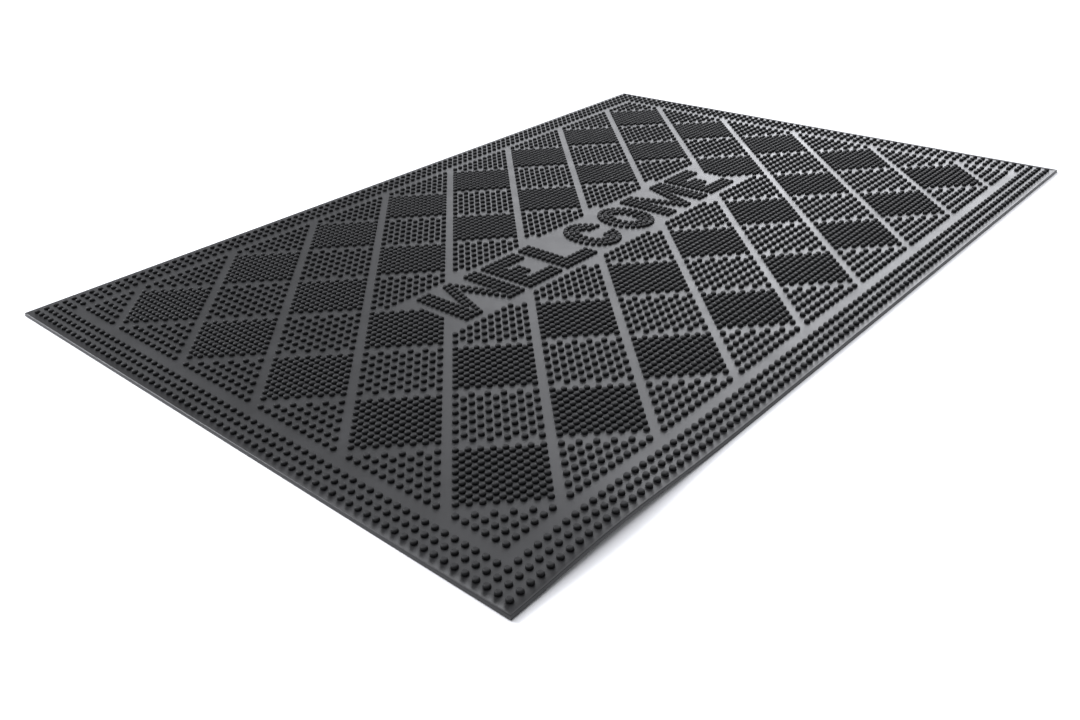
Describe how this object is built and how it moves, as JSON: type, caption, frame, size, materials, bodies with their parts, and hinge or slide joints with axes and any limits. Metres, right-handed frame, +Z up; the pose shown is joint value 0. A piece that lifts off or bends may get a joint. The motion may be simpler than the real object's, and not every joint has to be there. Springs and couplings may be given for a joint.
{
  "type": "door mat",
  "caption": "Rectangular moulded rubber door mat: a flat rimmed sheet with short scraper pins in a pattern of diamonds, a pinned border and a raised greeting.",
  "frame": {"origin": "centre of the underside, where the mat rests on the floor", "axes": "+X along the greeting in reading direction, +Y towards the top of its letters, +Z up out of the floor"},
  "size_m": [0.6, 0.395, 0.0035],
  "materials": {
    "rubber_sheet": "semi-gloss moulded black rubber",
    "rubber_pins": "semi-gloss moulded black rubber, darker between the pins"
  },
  "bodies": {
    "root": {"backing_sheet": "rubber_sheet", "border_band_back": "rubber_pins", "border_band_front": "rubber_pins", "border_band_left": "rubber_pins", "border_band_right": "rubber_pins", "dense_diamond_r1_c1": "rubber_pins", "dense_diamond_r1_c2": "rubber_pins", "dense_diamond_r1_c3": "rubber_pins", "dense_diamond_r1_c4": "rubber_pins", "dense_diamond_r1_c5": "rubber_pins", "dense_diamond_r1_c6": "rubber_pins", "dense_diamond_r1_c7": "rubber_pins", "dense_diamond_r1_c8": "rubber_pins", "dense_diamond_r2_c1": "rubber_pins", "dense_diamond_r2_c2": "rubber_pins", "dense_diamond_r2_c3": "rubber_pins", "dense_diamond_r2_c4": "rubber_pins", "dense_diamond_r2_c5": "rubber_pins", "dense_diamond_r2_c6": "rubber_pins", "dense_diamond_r2_c7": "rubber_pins", "dense_diamond_r2_c8": "rubber_pins", "dense_diamond_r3_c1": "rubber_pins", "dense_diamond_r3_c2": "rubber_pins", "dense_diamond_r3_c7": "rubber_pins", "dense_diamond_r3_c8": "rubber_pins", "dense_diamond_r4_c1": "rubber_pins", "dense_diamond_r4_c2": "rubber_pins", "dense_diamond_r4_c3": "rubber_pins", "dense_diamond_r4_c4": "rubber_pins", "dense_diamond_r4_c5": "rubber_pins", "dense_diamond_r4_c6": "rubber_pins", "dense_diamond_r4_c7": "rubber_pins", "dense_diamond_r4_c8": "rubber_pins", "dense_diamond_r5_c1": "rubber_pins", "dense_diamond_r5_c2": "rubber_pins", "dense_diamond_r5_c3": "rubber_pins", "dense_diamond_r5_c4": "rubber_pins", "dense_diamond_r5_c5": "rubber_pins", "dense_diamond_r5_c6": "rubber_pins", "dense_diamond_r5_c7": "rubber_pins", "dense_diamond_r5_c8": "rubber_pins", "wide_row_1": "rubber_pins", "wide_row_2": "rubber_pins", "wide_row_3_left": "rubber_pins", "wide_row_3_panel": "rubber_pins", "wide_row_3_right": "rubber_pins", "wide_row_4_left": "rubber_pins", "wide_row_4_panel": "rubber_pins", "wide_row_4_right": "rubber_pins", "wide_row_5": "rubber_pins", "wide_row_6": "rubber_pins", "letter_1_w": "rubber_pins", "letter_2_e": "rubber_pins", "letter_3_l": "rubber_pins", "letter_4_c": "rubber_pins", "letter_5_o": "rubber_pins", "letter_6_m": "rubber_pins", "letter_7_e": "rubber_pins"}
  },
  "joints": []
}
